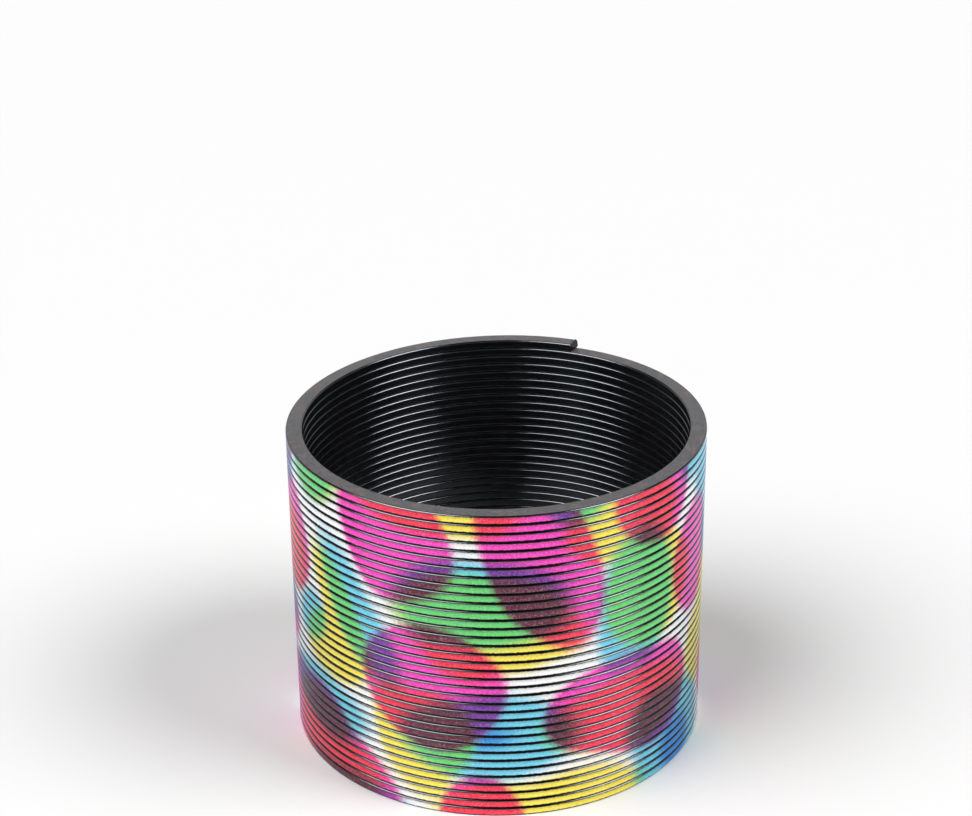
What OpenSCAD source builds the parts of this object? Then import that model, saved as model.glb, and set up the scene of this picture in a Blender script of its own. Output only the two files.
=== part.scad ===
// Coil spring toy, standing closed on its bottom turn.
// The strip is one left-handed coil. It is drawn as half turns that meet in the plane Y = 0, because
// the strip twists along its whole length: each meeting point, on the outer edge at +X or -X, is
// where one half turn opens from the next. Front half turns (-Y) lie level and back half turns (+Y)
// climb one pitch from -X to +X, so the coil rises clockwise seen from above.

/* [Coil] */
// Outer diameter of the closed coil
coil_d = 76; // [56:0.5:110]
// Number of front half turns, counted up the front of the coil
front_turns = 36; // [20:1:36]

/* [Strip] */
// Width of the strip, from the outside of the coil to the inside
strip_w = 3; // [2:0.1:5]
// Thickness of the strip, along the height of the coil
strip_t = 1.55; // [1.2:0.05:2.4]
// Height of the moulded bevel on the strip's four long edges
edge_bevel = 0.25; // [0.1:0.05:0.45]
// Clearance between one closed turn and the next
turn_gap = 0.1; // [0.06:0.01:0.3]

/* [Ends] */
// Front half turns that stay closed in the bottom stack
base_fronts = 4; // [4:1:6]
// Front half turns that stay closed in the top stack
top_fronts = 3; // [3:1:6]
// Angle of the bottom cut end, turned from +X towards the back
bottom_end = 20; // [8:1:30]
// Angle of the top cut end, turned from +X towards the back
top_end = 65; // [20:1:150]

/* [Hidden] */
FIRST = base_fronts;
LAST = front_turns - top_fronts;
function two_digits(n) = str(n < 10 ? "0" : "", n);
function back_name(n) = str("turn_", two_digits(n), "_back");
function front_name(n) = str("turn_", two_digits(n), "_front");
SINGLES = [
    for (n = [FIRST:LAST - 1])
        each [back_name(n), front_name(n + 1)]
];

outer_r = coil_d / 2;
inner_r = outer_r - strip_w;
pitch = strip_t + turn_gap;
// The back half turn climbs one pitch across the coil's diameter
climb = asin(pitch / coil_d);
half_turn = 180;
// Half turns of one stack overlap by this angle, so that they fuse into one solid
fuse = 0.6;
strip_black = "#17171a";

$fn = 120;

// The strip's section, with its lower outer corner on the axes
module strip_section() {
    polygon([
        [inner_r + edge_bevel, 0],
        [outer_r - edge_bevel, 0],
        [outer_r, edge_bevel],
        [outer_r, strip_t - edge_bevel],
        [outer_r - edge_bevel, strip_t],
        [inner_r + edge_bevel, strip_t],
        [inner_r, strip_t - edge_bevel],
        [inner_r, edge_bevel]
    ]);
}

// A flat arc of strip, from one angle to another, anticlockwise seen from above
module strip_arc(from, to) {
    rotate_extrude(angle = to - from, start = from)
        strip_section();
}

// The n-th front half turn, level at its own height
module front_half(n, from = -half_turn, to = 0) {
    translate([0, 0, (n - 1) * pitch])
        strip_arc(from, to);
}

// The n-th back half turn, hinged up about the outer edge at -X by one pitch
module back_half(n, from = 0, to = half_turn) {
    translate([-outer_r, 0, (n - 1) * pitch + strip_t / 2])
        rotate([0, -climb, 0])
            translate([outer_r, 0, -strip_t / 2])
                strip_arc(from, to);
}

// The closed turns that the coil stands on, with a level first turn
module base_turns() {
    color(strip_black)
        union() {
            front_half(1, -half_turn - bottom_end, bottom_end);
            for (n = [2:FIRST - 1])
                front_half(n, -half_turn - fuse, fuse);
            front_half(FIRST, -half_turn, fuse);
            for (n = [1:FIRST - 1])
                back_half(n);
        }
}

// The closed turns at the top, up to the cut end
module top_turns() {
    color(strip_black)
        union() {
            for (n = [LAST + 1:front_turns])
                front_half(n, -half_turn - fuse, fuse);
            for (n = [LAST:front_turns - 1])
                back_half(n);
            back_half(front_turns, top_end, half_turn);
        }
}

module turn_back(n) {
    color(strip_black)
        back_half(n);
}

module turn_front(n) {
    color(strip_black)
        front_half(n);
}

base_turns();
for (n = [FIRST:LAST - 1]) {
    turn_back(n);
    turn_front(n + 1);
}
top_turns();
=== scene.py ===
"""The looks of a coil spring toy.

The toy is one black moulded strip, wound left-handed, with a rainbow foil on its outer edge. The
strip is one surface. It is made in lengths that meet at the middle of the front and at the middle
of the back, each running between the two half turns that its hinge joins.
"""

import math

import bpy
import numpy as np
from mathutils import Matrix, Vector


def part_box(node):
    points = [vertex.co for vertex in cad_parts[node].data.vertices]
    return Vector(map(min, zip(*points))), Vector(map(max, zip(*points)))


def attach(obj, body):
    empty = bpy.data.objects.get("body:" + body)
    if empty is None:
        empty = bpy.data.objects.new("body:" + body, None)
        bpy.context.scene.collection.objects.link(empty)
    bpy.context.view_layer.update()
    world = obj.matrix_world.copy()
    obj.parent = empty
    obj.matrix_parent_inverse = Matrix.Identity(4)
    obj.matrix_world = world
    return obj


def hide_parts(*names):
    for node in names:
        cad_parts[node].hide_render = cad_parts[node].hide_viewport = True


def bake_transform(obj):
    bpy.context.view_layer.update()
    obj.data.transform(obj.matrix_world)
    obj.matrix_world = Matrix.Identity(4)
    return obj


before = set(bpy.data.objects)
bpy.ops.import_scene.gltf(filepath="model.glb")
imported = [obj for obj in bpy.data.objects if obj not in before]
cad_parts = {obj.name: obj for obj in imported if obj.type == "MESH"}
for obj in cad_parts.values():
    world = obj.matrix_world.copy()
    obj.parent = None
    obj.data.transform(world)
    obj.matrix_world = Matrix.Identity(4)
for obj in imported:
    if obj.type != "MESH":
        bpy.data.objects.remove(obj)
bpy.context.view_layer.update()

MM = 0.001

# ---------------------------------------- sizes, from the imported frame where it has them
low_front, low_front_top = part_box("turn_05_front")
next_front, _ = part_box("turn_06_front")
OUTER_R = -low_front.x
PITCH = next_front.z - low_front.z
STRIP_T = low_front_top.z - low_front.z
STRIP_W = 3.0 * MM
MIDDLE_R = OUTER_R - STRIP_W / 2
MIDDLE_ARC = math.pi * MIDDLE_R  # the length of a half turn along the strip's middle
CLIMB = PITCH / (2 * OUTER_R)  # the back half turns' rise for each metre of X

BASE_FRONTS = 4
LAST_FRONT = 33
TOP_BACK = 36
BOTTOM_END = 20  # degrees from +X towards the back
TOP_END = 65
FIRST_HINGE = 2 * BASE_FRONTS - 1
LAST_HINGE = 2 * LAST_FRONT - 1
STRIP_START = -BOTTOM_END / 180
STRIP_STOP = 2 * TOP_BACK - 1 + (180 - TOP_END) / 180

EDGE_R = 0.3 * MM  # rounding of the strip's four long edges
CORNER_POINTS = 6
TOP_FACE_POINTS = 9
RINGS_PER_HALF_TURN = 90

# the two cut ends
LOW_BURR = 0.04 * MM  # at the bottom end, where the next turn lies close above
TOP_BURR = 0.5 * MM
CUT_RINGS = np.array([0.04, 0.09, 0.16, 0.26, 0.38, 0.52, 0.7, 0.95, 1.2]) * MM
SLANT_OUT, SLANT_UP = -0.12, 0.08  # slide for each metre outwards and upwards
SLANT_WAVE = 0.05 * MM
SLANT_REACH = 0.6 * MM
# each nib's (middle across the strip, half width, share of the burr's height)
NIBS = [(0.75 * MM, 0.2 * MM, 1.0), (0.1 * MM, 0.16 * MM, 0.7)]
BURR_REACH = 0.2 * MM
CUT_ROUND = 0.09 * MM  # how much the section shrinks at the cut
CUT_ROUND_REACH = 0.1 * MM


# ---------------------------------------- the strip's surface
def centre_line(u):
    """The strip's lower middle line at u half turns, as (angle, height).

    The angle is -180 degrees times u, so u 0 is at +X, a half at the front, 1 at -X and one and a
    half at the back. Front half turns are level; back half turns rise in proportion to their
    distance from the outer edge at -X.
    """
    angle = -math.pi * u
    half = np.floor(u + 1e-9).astype(int)
    half = np.maximum(half, 0)
    turn = half // 2
    on_back = half % 2 == 1
    rise = np.where(on_back, CLIMB * OUTER_R * (1 + np.cos(angle)), 0.0)
    return angle, turn * PITCH + rise


def section_outline():
    """The strip's section as (out, up, out normal, up normal), from its lower outer corner.

    It runs anticlockwise. Each corner is a quarter circle of radius EDGE_R, and the straight sides
    run from one corner to the next. The upper side has points of its own, for the torn burr of a
    cut end.
    """
    a = np.linspace(0, math.pi / 2, CORNER_POINTS)
    half_w, half_t = STRIP_W / 2 - EDGE_R, STRIP_T / 2 - EDGE_R
    out, up, n_out, n_up = [], [], [], []
    for corner, (cx, cy) in enumerate(
        [(half_w, -half_t), (half_w, half_t), (-half_w, half_t), (-half_w, -half_t)]
    ):
        t = a + (corner - 1) * math.pi / 2
        out.append(cx + EDGE_R * np.cos(t))
        up.append(cy + EDGE_R * np.sin(t))
        n_out.append(np.cos(t))
        n_up.append(np.sin(t))
        if corner == 1:
            out.append(np.linspace(half_w, -half_w, TOP_FACE_POINTS + 2)[1:-1])
            up.append(np.full(TOP_FACE_POINTS, STRIP_T / 2))
            n_out.append(np.zeros(TOP_FACE_POINTS))
            n_up.append(np.ones(TOP_FACE_POINTS))
    return [np.concatenate(v) for v in (out, up, n_out, n_up)]


def cut_end(out, up, side, tallest):
    """How far points near a cut end slide along the strip and rise, as (slide, burr), in metres.

    side is the distance of each ring from the cut and tallest the height of its burr. The cut
    slants across the strip and is a little wavy, and the slide dies away as
    exp(-(side / SLANT_REACH) squared), slowly enough that no ring passes the next. The torn burr
    stands up on the end of the upper face and dies away as exp(-(side / BURR_REACH) squared): two
    narrow nibs, each a bell curve across the strip, on a low ragged edge.
    """
    slide = SLANT_OUT * out + SLANT_UP * up
    slide = slide + SLANT_WAVE * np.sin(out * 5200 + 1.0) * np.cos(up * 7000)
    slide = slide * np.exp(-((side / SLANT_REACH) ** 2))
    nibs = sum(share * np.exp(-(((out - middle) / half) ** 2)) for middle, half, share in NIBS)
    ragged = 0.12 + 0.1 * np.sin(out * 4100 + 0.6)
    upper = np.clip(up / (STRIP_T / 2), 0, 1) ** 4
    return slide, tallest * upper * (nibs + ragged) * np.exp(-((side / BURR_REACH) ** 2))


def strip_normals(angle, ring_u, r, n_out, n_up):
    """The strip's side normals: the section's own, turned with the angle, tilted back by the climb.

    The tilt takes away each normal's share along the strip's tangent.
    """
    cos_a, sin_a = np.cos(angle), np.sin(angle)
    normal = np.stack([n_out * cos_a, n_out * sin_a, np.broadcast_to(n_up, angle.shape)], -1)
    half = np.maximum(np.floor(ring_u + 1e-9), 0)
    slope = np.where(half % 2 == 1, CLIMB * OUTER_R * np.sin(-angle) / r, 0.0)
    tangent = np.stack([sin_a, -cos_a, slope], -1)
    tangent /= np.linalg.norm(tangent, axis=-1, keepdims=True)
    normal -= (normal * tangent).sum(-1, keepdims=True) * tangent
    normal /= np.linalg.norm(normal, axis=-1, keepdims=True)
    return normal.reshape(-1, 3)


def smooth_sides(mesh, normal, rings, points):
    """Gives the sides their own normals and keeps the two caps, the last two faces, flat."""
    corner_vertex = np.zeros(len(mesh.loops), np.int64)
    mesh.loops.foreach_get("vertex_index", corner_vertex)
    corner_normal = normal[corner_vertex]
    first, last = mesh.polygons[-2].normal, mesh.polygons[-1].normal
    corner_normal[-2 * points : -points] = first
    corner_normal[-points:] = last
    smooth = np.ones(len(mesh.polygons), bool)
    smooth[-2:] = False
    mesh.polygons.foreach_set("use_smooth", smooth)
    # the caps' rims are sharp, so that the sides keep their own normals up to the end
    edges = np.zeros(len(mesh.edges) * 2, np.int64)
    mesh.edges.foreach_get("vertices", edges)
    edges = edges.reshape(-1, 2)
    rim = (edges < points).all(1) | (edges >= (rings - 1) * points).all(1)
    sharp = mesh.attributes.new("sharp_edge", "BOOLEAN", "EDGE")
    sharp.data.foreach_set("value", rim)
    mesh.normals_split_custom_set(corner_normal.tolist())


def store_places(mesh, co, section):
    """Keeps what the finish reads at each point.

    pressed_place is where the point was when the foil was pressed on the closed coil,
    section_place is (out, up, distance along the strip), and ink_depth is the depth inside the
    magenta, yellow and cyan spots.
    """
    around, up = wander(np.degrees(np.arctan2(co[:, 0], -co[:, 1])), co[:, 2] / MM)
    inks = [ink_depth(around, up, spots) for spots in (MAGENTA_SPOTS, YELLOW_SPOTS, CYAN_SPOTS)]
    places = {"pressed_place": co, "section_place": section, "ink_depth": np.stack(inks, -1)}
    for name, values in places.items():
        stored = mesh.attributes.new(name, "FLOAT_VECTOR", "POINT")
        stored.data.foreach_set("vector", values.astype(np.float32).ravel())


def strip_length(name, start, stop, burr_start=None, burr_stop=None):
    """A length of the strip from start to stop in half turns, as one closed mesh.

    A point is the centre line, plus the section's out along the radius, plus its up along Z. Each
    ring of section points is joined to the next by quads and the two ends are closed by flat caps.
    An end with a burr height is a cut end, with close rings that follow cut_end().
    """
    count = max(2, round((stop - start) * RINGS_PER_HALF_TURN)) + 1
    u = np.linspace(start, stop, count)
    close = CUT_RINGS / MIDDLE_ARC
    if burr_start:
        u = np.sort(np.concatenate([u, start + close]))
    if burr_stop:
        u = np.sort(np.concatenate([u, stop - close]))
    out, up, n_out, n_up = section_outline()
    points = len(out)
    rings = len(u)
    ring_out = np.broadcast_to(out, (rings, points)).copy()
    ring_up = np.broadcast_to(up, (rings, points)).copy()
    ring_u = np.broadcast_to(u[:, None], (rings, points)).copy()
    for tallest, edge, inwards in ((burr_start, start, 1), (burr_stop, stop, -1)):
        if tallest:
            side = np.abs(u - edge)[:, None] * math.pi * MIDDLE_R
            slide, burr = cut_end(ring_out, ring_up, side, tallest)
            ring_u = ring_u + inwards * slide / MIDDLE_ARC
            shrink = CUT_ROUND * np.clip(1 - side / CUT_ROUND_REACH, 0, 1)
            ring_out = ring_out * (1 - shrink / (STRIP_W / 2))
            ring_up = ring_up * (1 - shrink / (STRIP_T / 2)) + burr
    angle, height = centre_line(ring_u)
    r = MIDDLE_R + ring_out
    z = height + STRIP_T / 2 + ring_up
    co = np.stack([r * np.cos(angle), r * np.sin(angle), z], -1).reshape(-1, 3)

    mesh = bpy.data.meshes.new(name)
    i, j = np.meshgrid(np.arange(rings - 1), np.arange(points), indexing="ij")
    k = (j + 1) % points
    sides = np.stack(
        [i * points + j, i * points + k, (i + 1) * points + k, (i + 1) * points + j], -1
    ).reshape(-1, 4)
    caps = [list(range(points))[::-1], [(rings - 1) * points + p for p in range(points)]]
    mesh.from_pydata(co.tolist(), [], sides.tolist() + caps)
    mesh.update()
    smooth_sides(mesh, strip_normals(angle, ring_u, r, n_out, n_up), rings, points)
    along = np.repeat(u, points) * math.pi * OUTER_R
    store_places(mesh, co, np.stack([ring_out.ravel(), ring_up.ravel(), along], -1))

    obj = bpy.data.objects.new(name, mesh)
    bpy.context.scene.collection.objects.link(obj)
    return obj


# ---------------------------------------- the finish
class Nodes:
    """A short way to make and join shader nodes."""

    def __init__(self, material):
        material.use_nodes = True
        self.tree = material.node_tree
        self.tree.nodes.clear()

    def add(self, kind, inputs=None, **settings):
        made = self.tree.nodes.new(kind)
        for key, value in settings.items():
            setattr(made, key, value)
        for key, value in (inputs or {}).items():
            if isinstance(value, bpy.types.NodeSocket):
                self.tree.links.new(value, made.inputs[key])
            else:
                made.inputs[key].default_value = value
        return made

    def math(self, operation, a, b=0.0, c=0.0):
        return self.add("ShaderNodeMath", {0: a, 1: b, 2: c}, operation=operation).outputs[0]

    def ramp(self, value, low, high, to_low=0.0, to_high=1.0):
        ends = {"From Min": low, "From Max": high, "To Min": to_low, "To Max": to_high}
        made = self.add(
            "ShaderNodeMapRange", {"Value": value, **ends}, interpolation_type="SMOOTHSTEP"
        )
        return made.outputs["Result"]

    def mix_colour(self, factor, a, b):
        made = self.add("ShaderNodeMix", data_type="RGBA")
        for socket, value in ((0, factor), (6, a), (7, b)):
            if isinstance(value, bpy.types.NodeSocket):
                self.tree.links.new(value, made.inputs[socket])
            else:
                made.inputs[socket].default_value = value
        return made.outputs[2]

    def mix_value(self, factor, a, b):
        return self.add("ShaderNodeMix", {0: factor, 2: a, 3: b}, data_type="FLOAT").outputs[0]

    def noise(self, place, scale, detail=2.0, roughness=0.5):
        made = self.add(
            "ShaderNodeTexNoise",
            {"Vector": place, "Scale": scale, "Detail": detail, "Roughness": roughness},
        )
        return made.outputs["Fac"]


def srgb(r, g, b):
    """A colour given as 0 to 255 display values, as linear light."""
    v = np.array([r, g, b]) / 255
    v = np.where(v <= 0.04045, v / 12.92, ((v + 0.055) / 1.055) ** 2.4)
    return (*[float(x) for x in v], 1.0)


# The foil is silver with three inks on it in soft spots, and strip_finish() has a colour for each
# way in which the three can overlap. Each spot is (degrees round from the front, millimetres up,
# half width in degrees, half height in millimetres, lean in degrees).
MAGENTA_SPOTS = [
    (-28.7, 53.5, 15, 13.2, -30),
    (11, 50.6, 15.5, 18.2, -22),
    (46, 58, 14, 10, 0),
    (-18.7, 25.3, 20.6, 12, 12),
    (27, 19.4, 15.5, 8.8, 0),
    (36, 18.6, 19, 9.8, 0),
    (47.5, 17.6, 15.8, 9.8, 0),
    (-5, -0.5, 12.5, 9, 0),
    (-58, 1.5, 30, 12, 12),
    (-58, 10, 13, 7.5, 20),
    (-72, 8, 18, 10, 0),
    (66, 40, 12, 11, 0),
    (-76, 43, 14, 11, -10),
    (-88, 60, 16, 7, 0),
    (-86, 25, 13, 7, 0),
    (92, 12, 16, 10, 10),
    (98, 54, 18, 9, -15),
    (128, 32, 20, 11, 20),
    (122, 4, 12, 7, 0),
    (150, 55, 19, 8, 0),
    (162, 16, 17, 11, -20),
    (-168, 40, 16, 11, 15),
    (-150, 8, 18, 9, 10),
    (-138, 55, 17, 8, -10),
    (-126, 28, 16, 10, 25),
    (-108, 46, 11, 9, 0),
    (-108, 8, 13, 9, -20),
]
YELLOW_SPOTS = [
    (-17, 61.5, 24, 7, 0),
    (-4.5, 40.5, 23.5, 8, 0),
    (-10, 32.3, 12, 4.2, 24),
    (11, 36, 12, 4.5, 0),
    (3, 33.5, 9, 4.8, 0),
    (36, 54.5, 18, 7.5, 0),
    (45, 40, 16.5, 11.5, 0),
    (-51, 26.5, 14, 6.5, 0),
    (-48, 36, 7.5, 12, -34),
    (-25, 14, 10, 12.5, -22),
    (-17, 16.5, 11, 8.5, 0),
    (0, 0, 19, 7, 0),
    (37, 17, 25.5, 7.8, 0),
    (21, 1.5, 21, 6.2, 0),
    (-54, 3, 21, 7, 0),
    (-60, 10.5, 14, 5.5, 0),
    (-57, 60, 12, 5.5, 0),
    (-76, 40, 12, 8, 0),
    (74, 20, 10, 9, 0),
    (88, 32, 17, 7, 0),
    (110, 57, 20, 6, 0),
    (112, 18, 17, 8, 15),
    (140, 44, 17, 8, -10),
    (142, 8, 18, 7, 0),
    (170, 28, 15, 9, 20),
    (178, 57, 17, 6, 0),
    (-160, 22, 20, 7, 0),
    (-150, 47, 14, 9, 0),
    (-130, 14, 17, 7, -15),
    (-118, 38, 17, 7, 0),
    (-98, 26, 14, 7, 0),
    (-104, 58, 17, 5, 0),
]
CYAN_SPOTS = [
    (-4.5, 42.5, 23.5, 8.8, 0),
    (-17, 37.5, 7.5, 3.6, 0),
    (21, 60.5, 8.5, 5, 0),
    (40.5, 39, 13.5, 13.5, 0),
    (33, 33, 6.5, 7.5, 0),
    (-3, 15.8, 24.5, 8.6, 0),
    (47, 12, 12.5, 6.6, 0),
    (57, 4, 18, 12.5, 0),
    (-41, 36.5, 8.8, 14.8, -33),
    (-62, 30, 8, 5, 0),
    (-58, 14.2, 19.5, 6.2, 6),
    (-48, -1.5, 20, 4.6, 0),
    (-58, 60, 12, 5.5, 0),
    (63, 61, 8, 5, 0),
    (-84, 57, 12, 7, 0),
    (-84, 28, 10, 6, 0),
    (74, 54, 8, 6, 0),
    (86, 42, 13, 8, 0),
    (100, 26, 16, 7, 0),
    (104, 4, 15, 6, 0),
    (124, 48, 17, 8, 10),
    (136, 22, 15, 8, 0),
    (156, 38, 17, 8, -15),
    (160, 4, 17, 6, 0),
    (-176, 50, 15, 7, 0),
    (-172, 16, 17, 8, 0),
    (-148, 30, 17, 8, 15),
    (-130, 57, 15, 6, 0),
    (-124, 8, 15, 7, 0),
    (-108, 34, 15, 8, -10),
    (-98, 50, 11, 6, 0),
]


def ink_depth(around, up, spots):
    """How many millimetres inside one ink's spots each place lies, below 0 outside them all.

    around is in degrees and up in millimetres. For each spot the offset from its middle is turned
    by its lean and measured in half widths; one minus the length of that, times the spot's shorter
    half width, is its depth. Depths are joined by a soft maximum, so that spots that touch run
    together.
    """
    per_degree = math.radians(1) * OUTER_R / MM
    softness = 0.7
    total = np.zeros_like(around)
    for middle, height, half_w, half_h, lean in spots:
        across = ((around - middle + 180) % 360 - 180) * per_degree
        rise = up - height
        c, s = math.cos(math.radians(lean)), math.sin(math.radians(lean))
        wide, tall = half_w * per_degree, half_h
        reach = np.hypot((across * c - rise * s) / wide, (across * s + rise * c) / tall)
        depth = (1 - reach) * min(wide, tall)
        total += np.exp(np.clip(depth, -9, 9) / softness)
    return softness * np.log(total)


def wander(around, up):
    """Moves places a little, by slow waves round and up the coil, so that no spot is an ellipse."""
    a = np.radians(around)
    h = up / 9.0
    side = 0.9 * np.sin(5 * a + 0.9 * h + 0.4) + 0.6 * np.sin(9 * a - 1.7 * h + 2.1)
    rise = 0.4 * np.sin(7 * a + 1.1 * h + 1.3) + 0.3 * np.sin(12 * a - 0.8 * h)
    return around + side, up + rise


def strip_finish():
    """Black moulded plastic with the hot-pressed rainbow foil on its outer edge."""
    material = bpy.data.materials.new("black_plastic_with_rainbow_foil")
    nodes = Nodes(material)
    place = nodes.add("ShaderNodeAttribute", attribute_name="pressed_place").outputs["Vector"]
    millimetres = nodes.add(
        "ShaderNodeVectorMath", {0: place, "Scale": 1 / MM}, operation="SCALE"
    ).outputs[0]
    section = nodes.add("ShaderNodeAttribute", attribute_name="section_place").outputs["Vector"]
    on_section = nodes.add("ShaderNodeSeparateXYZ", {0: section}).outputs

    # each ink fades over its spots' edges, which are a little speckled
    depth = nodes.add("ShaderNodeAttribute", attribute_name="ink_depth").outputs["Vector"]
    depth = nodes.add("ShaderNodeSeparateXYZ", {0: depth}).outputs
    speckle = nodes.math("MULTIPLY_ADD", nodes.noise(millimetres, 2.2, 3.0, 0.7), 1.6, -0.8)
    magenta = nodes.ramp(nodes.math("ADD", depth["X"], speckle), -0.9, 0.9)
    yellow = nodes.ramp(nodes.math("ADD", depth["Y"], speckle), -1.3, 1.3)
    cyan = nodes.ramp(nodes.math("ADD", depth["Z"], speckle), -1.6, 1.6)

    silver, pink = srgb(253, 253, 253), srgb(252, 70, 194)
    lemon, red = srgb(252, 232, 84), srgb(250, 54, 84)
    sky, green = srgb(112, 210, 236), srgb(106, 214, 118)
    violet, plum = srgb(120, 56, 160), srgb(104, 44, 64)
    sky = nodes.mix_colour(nodes.ramp(depth["Z"], 4.5, 8.5), sky, srgb(30, 140, 222))
    bare = nodes.mix_colour(magenta, silver, pink)
    with_yellow = nodes.mix_colour(magenta, lemon, red)
    with_cyan = nodes.mix_colour(magenta, sky, violet)
    with_both = nodes.mix_colour(magenta, green, plum)
    without_cyan = nodes.mix_colour(yellow, bare, with_yellow)
    foil = nodes.mix_colour(cyan, without_cyan, nodes.mix_colour(yellow, with_cyan, with_both))
    # its grain shows as fine dark and light flecks, and each turn of it is darkened towards its
    # upper edge by painted shade
    grain = nodes.noise(millimetres, 5.0, 4.0, 0.7)
    foil = nodes.mix_colour(nodes.ramp(grain, 0.5, 0.68, 0.0, 0.32), foil, srgb(24, 18, 26))
    foil = nodes.mix_colour(nodes.ramp(grain, 0.5, 0.34, 0.0, 0.24), foil, srgb(255, 255, 255))
    # painted shade: each foil band darker towards its upper edge
    painted_shade_towards_top = nodes.ramp(on_section["Y"], -0.1 * MM, 0.55 * MM, 0.0, 0.3)
    foil = nodes.mix_colour(painted_shade_towards_top, foil, srgb(24, 12, 20))

    # the foil's edges are ragged, it stops just short of the cut ends, and it has a few pinholes
    fray = nodes.noise(millimetres, 2.4, 5.0, 0.75)
    reach = nodes.math("MULTIPLY_ADD", fray, 0.6, 0.215)
    height = nodes.math("MULTIPLY", nodes.math("ABSOLUTE", on_section["Y"]), 1 / MM)
    band = nodes.ramp(nodes.math("SUBTRACT", reach, height), -0.03, 0.03)
    outside = nodes.ramp(on_section["X"], STRIP_W / 2 - 0.30 * MM, STRIP_W / 2 - 0.24 * MM)
    first_end = nodes.math("ADD", on_section["Z"], -STRIP_START * math.pi * OUTER_R)
    last_end = nodes.math("SUBTRACT", STRIP_STOP * math.pi * OUTER_R, on_section["Z"])
    nearest_end = nodes.math("MINIMUM", first_end, last_end)
    to_end = nodes.math("MULTIPLY_ADD", fray, -1.2 * MM, nearest_end)
    outside = nodes.math("MULTIPLY", outside, nodes.ramp(to_end, 0.0, 0.2 * MM))
    holes = nodes.ramp(nodes.noise(millimetres, 1.7, 5.0, 0.75), 0.235, 0.26)
    mask = nodes.math("MULTIPLY", nodes.math("MULTIPLY", band, outside), holes)

    # painted shade: the bare plastic below each turn's foil, and at the cut ends, is made near
    # black and metallic, so that it mirrors almost nothing and the grooves and the torn ends stay
    # dark
    groove_and_end_painted_shade = nodes.math(
        "MULTIPLY",
        nodes.ramp(on_section["X"], STRIP_W / 2 - 0.34 * MM, STRIP_W / 2 - 0.24 * MM),
        nodes.ramp(on_section["Y"], -0.52 * MM, -0.40 * MM, 0.92, 0.0),
    )

    # painted shade at the cut ends as well
    torn = nodes.ramp(nearest_end, 0.0, 0.06 * MM, 0.8, 0.0)
    groove_and_end_painted_shade = nodes.math("MAXIMUM", groove_and_end_painted_shade, torn)

    # the plastic: glossy at the sides of the strip, rubbed to a greyer satin on the faces that lie
    # turn on turn
    cloud = nodes.noise(millimetres, 0.35, 3.0, 0.6)
    fine = nodes.noise(millimetres, 4.0, 3.0, 0.65)
    from_middle = nodes.math("ABSOLUTE", on_section["X"])
    flat_part = nodes.ramp(from_middle, STRIP_W / 2 - 0.34 * MM, STRIP_W / 2 - 0.2 * MM, 1.0, 0.0)
    rubbed = nodes.math("MULTIPLY", nodes.ramp(height, 0.66, 0.76), flat_part)
    plastic = nodes.mix_colour(cloud, srgb(8, 8, 10), srgb(14, 14, 16))
    satin = nodes.mix_colour(nodes.ramp(fine, 0.4, 0.6), srgb(18, 17, 18), srgb(74, 74, 76))
    dust = nodes.ramp(nodes.noise(millimetres, 0.7, 5.0, 0.75), 0.48, 0.66, 0.0, 0.6)
    satin = nodes.mix_colour(dust, satin, srgb(92, 68, 60))
    plastic = nodes.mix_colour(rubbed, plastic, satin)
    # painted shade: the grooves and cut ends made near black
    plastic = nodes.mix_colour(groove_and_end_painted_shade, plastic, srgb(4, 4, 5))
    colour = nodes.mix_colour(mask, plastic, foil)
    gloss_rough = nodes.ramp(cloud, 0.3, 0.7, 0.12, 0.2)
    satin_rough = nodes.ramp(fine, 0.3, 0.7, 0.36, 0.5)
    plastic_rough = nodes.mix_value(rubbed, gloss_rough, satin_rough)
    foil_rough = nodes.ramp(grain, 0.3, 0.7, 0.28, 0.42)
    rough = nodes.mix_value(mask, plastic_rough, foil_rough)
    relief = nodes.math("MULTIPLY_ADD", mask, 0.6, fine)
    bump = nodes.add(
        "ShaderNodeBump", {"Strength": 0.25, "Distance": 0.02 * MM, "Height": relief}
    ).outputs[0]
    skin = nodes.add(
        "ShaderNodeBsdfPrincipled",
        {
            "Base Color": colour,
            "Metallic": nodes.math("MAXIMUM", nodes.math("MULTIPLY", mask, 0.92), groove_and_end_painted_shade),
            "Roughness": rough,
            "Normal": bump,
            "IOR": 1.59,
            "Specular IOR Level": 0.75,
            "Specular Tint": (0.86, 0.93, 1.0, 1.0),
        },
    )
    nodes.add("ShaderNodeOutputMaterial", {"Surface": skin.outputs[0]})
    return material


finish = strip_finish()


# ---------------------------------------- the lengths of strip, each on its bodies
def two_digits(n):
    return f"{n:02d}"


def node_of(half):
    """The CAD node that holds half turn number `half`, counted from 0 at the bottom."""
    turn = half // 2 + 1
    if half < FIRST_HINGE:
        return "base_turns"
    if half >= LAST_HINGE:
        return "top_turns"
    return f"turn_{two_digits(turn)}_{'front' if half % 2 == 0 else 'back'}"


base = strip_length("base_length", STRIP_START, FIRST_HINGE - 0.5, burr_start=LOW_BURR)
base.data.materials.append(finish)
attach(base, "base_turns")
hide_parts("base_turns")

for hinge in range(FIRST_HINGE, LAST_HINGE + 1):
    lower, upper = node_of(hinge - 1), node_of(hinge)
    on_left = hinge % 2 == 1
    side = "left" if on_left else "right"
    length = strip_length(
        f"length_{two_digits((hinge + 1) // 2)}_{side}", hinge - 0.5, hinge + 0.5
    )
    length.data.materials.append(finish)
    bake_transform(length)
    if upper != "top_turns":
        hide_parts(upper)

top = strip_length("top_length", LAST_HINGE + 0.5, STRIP_STOP, burr_stop=TOP_BURR)
top.data.materials.append(finish)
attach(top, "top_turns")
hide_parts("top_turns")

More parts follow.
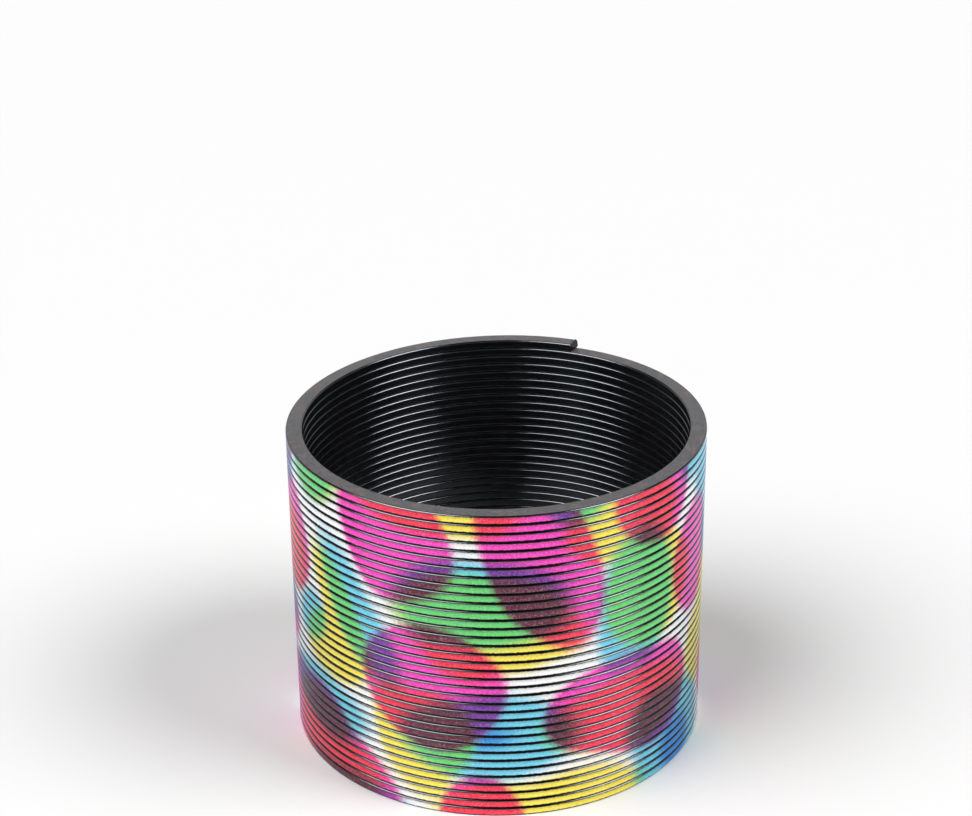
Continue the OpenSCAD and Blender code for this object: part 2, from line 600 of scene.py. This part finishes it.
# ---------------------------------------- floor, light and camera
FLOOR_HALF = 30.0
floor_mesh = bpy.data.meshes.new("studio_floor")
FLOOR_CORNERS = ((-1, -1), (1, -1), (1, 1), (-1, 1))
floor_points = [(x * FLOOR_HALF, y * FLOOR_HALF, 0) for x, y in FLOOR_CORNERS]
floor_mesh.from_pydata(floor_points, [], [(0, 1, 2, 3)])
floor = bpy.data.objects.new("studio_floor", floor_mesh)
bpy.context.scene.collection.objects.link(floor)
floor_paint = bpy.data.materials.new("pale_floor")
floor_nodes = Nodes(floor_paint)
floor_skin = floor_nodes.add(
    "ShaderNodeBsdfPrincipled",
    {"Base Color": (0.425, 0.425, 0.425, 1), "Roughness": 0.7, "Specular IOR Level": 0.2},
)
floor_nodes.add("ShaderNodeOutputMaterial", {"Surface": floor_skin.outputs[0]})
floor_mesh.materials.append(floor_paint)


def softbox(name, place, spread, power):
    """A distant round soft light, seen from the origin towards place and spread degrees across."""
    light = bpy.data.lights.new(name, "SUN")
    light.angle = math.radians(spread)
    light.energy = power
    holder = bpy.data.objects.new(name, light)
    bpy.context.scene.collection.objects.link(holder)
    holder.matrix_world = Vector(place).to_track_quat("Z", "Y").to_matrix().to_4x4()


softbox("softbox_left", (-0.54, -0.27, 0.79), 45, 5.2)
softbox("softbox_right", (0.65, -0.19, 0.74), 31, 3.9)

# the air is bright at the horizon and behind the coil, and dark in front and overhead
world = bpy.data.worlds.new("studio_air")
bpy.context.scene.world = world
air = Nodes(world)
way = air.add("ShaderNodeTexCoord").outputs["Generated"]
way = air.add("ShaderNodeSeparateXYZ", {0: way}).outputs
horizon = air.ramp(way["Z"], 0.14, 0.30, 0.98, 0.02)
low_enough = air.ramp(way["Z"], 0.44, 0.58, 0.7, 0.0)
behind = air.math("MULTIPLY", air.ramp(way["Y"], 0.35, 0.75), low_enough)
glow = air.math("MAXIMUM", horizon, behind)
backdrop = air.add("ShaderNodeBackground", {"Color": (1, 1, 1, 1), "Strength": glow})
air.add("ShaderNodeOutputWorld", {"Surface": backdrop.outputs[0]})

LENS = 80.35
SENSOR_WIDTH = 36
CAMERA_PLACE = (-0.0018, -0.3559, 0.2242)
CAMERA_DOWN = 24.54
CAMERA_ROLL = -0.63
camera_data = bpy.data.cameras.new("camera")
camera_data.lens = LENS
camera_data.sensor_width = SENSOR_WIDTH
camera_data.clip_start, camera_data.clip_end = 0.01, 100
camera = bpy.data.objects.new("camera", camera_data)
bpy.context.scene.collection.objects.link(camera)
down, roll = math.radians(CAMERA_DOWN), math.radians(CAMERA_ROLL)
camera.matrix_world = (
    Matrix.Translation(CAMERA_PLACE)
    @ Matrix.Rotation(math.pi / 2 - down, 4, "X")
    @ Matrix.Rotation(roll, 4, "Z")
)
bpy.context.scene.camera = camera
bpy.context.scene.view_settings.view_transform = "Standard"
